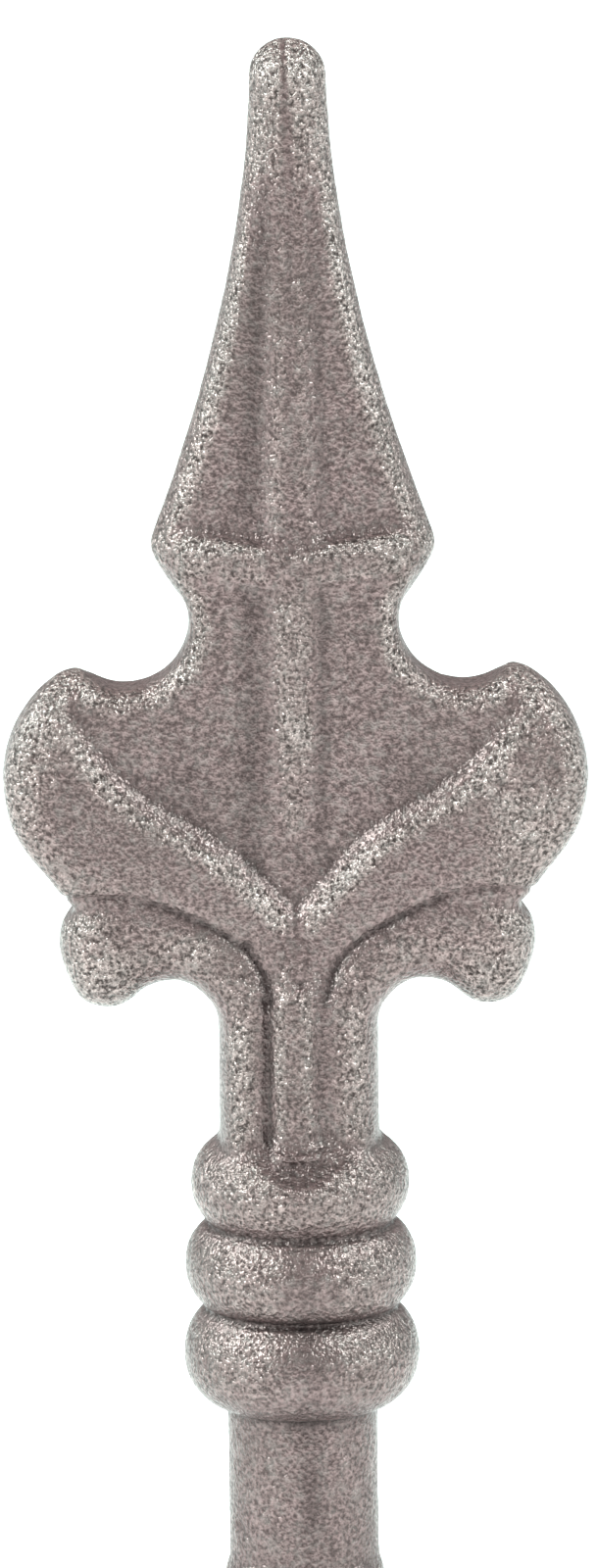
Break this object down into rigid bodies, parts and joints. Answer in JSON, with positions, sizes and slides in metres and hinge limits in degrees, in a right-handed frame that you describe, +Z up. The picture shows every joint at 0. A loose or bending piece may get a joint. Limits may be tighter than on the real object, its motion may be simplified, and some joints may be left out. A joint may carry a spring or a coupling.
{
  "type": "fence finial",
  "caption": "Cast fence finial: blunt spear over a leaf with rolled lobes, a bundled stem and stacked rings on a round shank, to be welded or set on a post or bar.",
  "frame": {"origin": "centre of the flat underside of the shank", "axes": "+Z up along the axis to the tip, X across the leaf, the face shown points to -Y"},
  "size_m": [0.063, 0.0254, 0.17],
  "materials": {
    "cast_iron": "raw shot-blasted casting, pinkish grey and sparkling, with soft edges and small pits"
  },
  "bodies": {
    "root": {"finial": "cast_iron"}
  },
  "joints": []
}
